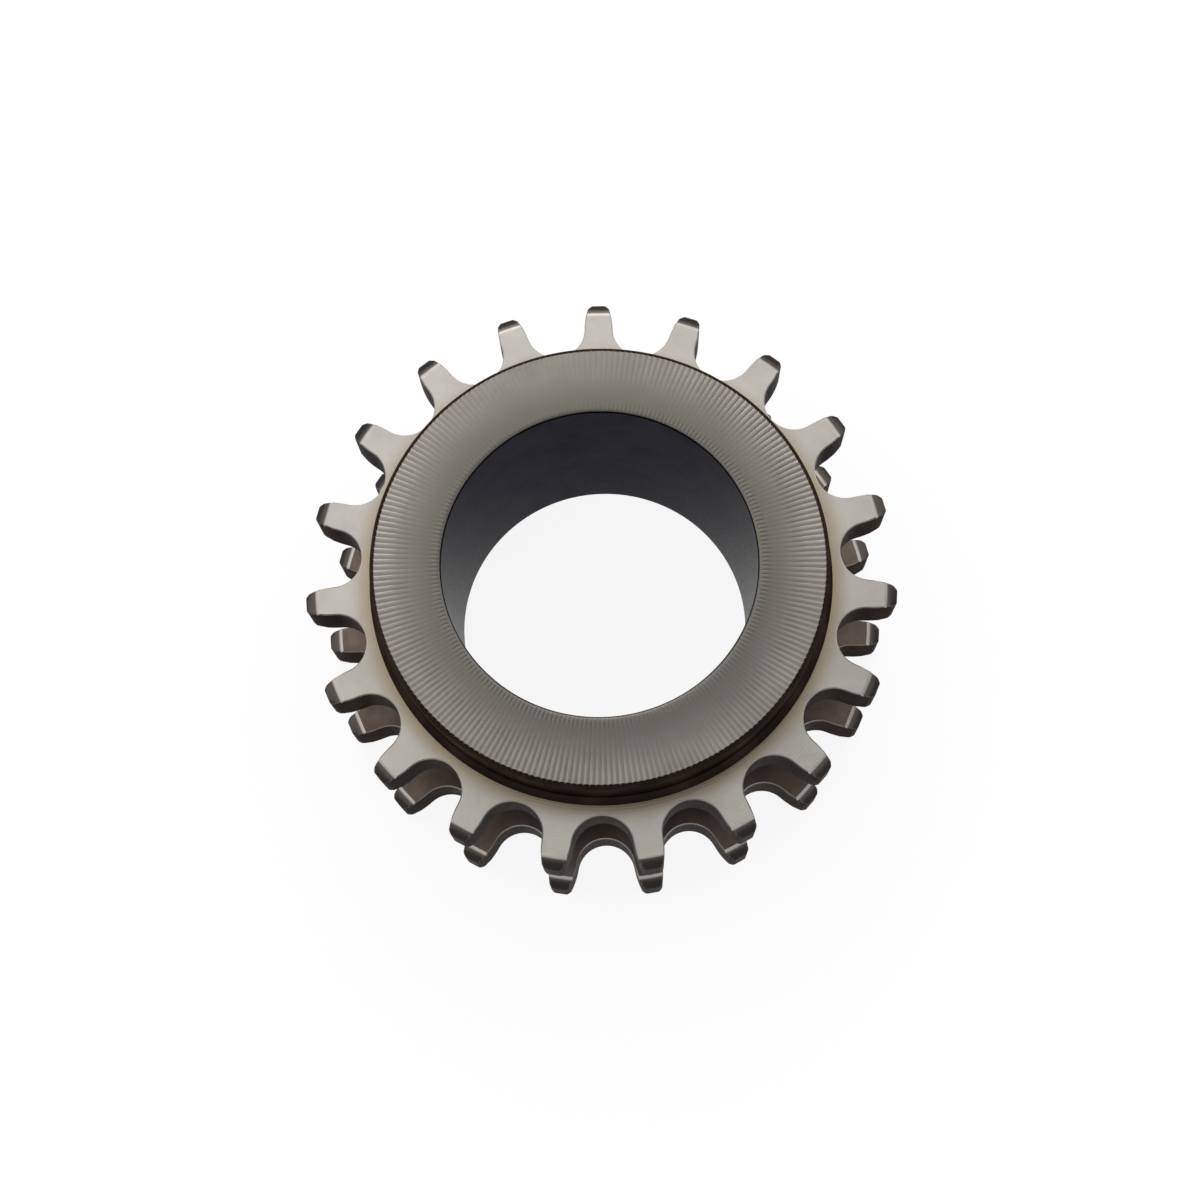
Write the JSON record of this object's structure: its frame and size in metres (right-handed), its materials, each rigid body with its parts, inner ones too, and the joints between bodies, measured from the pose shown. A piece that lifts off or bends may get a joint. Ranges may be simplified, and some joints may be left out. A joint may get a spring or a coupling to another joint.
{
  "type": "crankshaft sprocket",
  "caption": "One-piece steel timing sprocket with two rows of teeth in line, a raised clamping boss with radial serrations, and a plain through bore for a crankshaft nose.",
  "frame": {"origin": "on the bore axis, in the back face that the part rests on", "axes": "+Z along the bore axis, from the back face to the boss face; +X through the middle of a tooth gap"},
  "size_m": [0.0629, 0.063, 0.0269],
  "materials": {
    "sprocket_steel": "satin"
  },
  "bodies": {
    "root": {"crankshaft_sprocket": "sprocket_steel"}
  },
  "joints": []
}
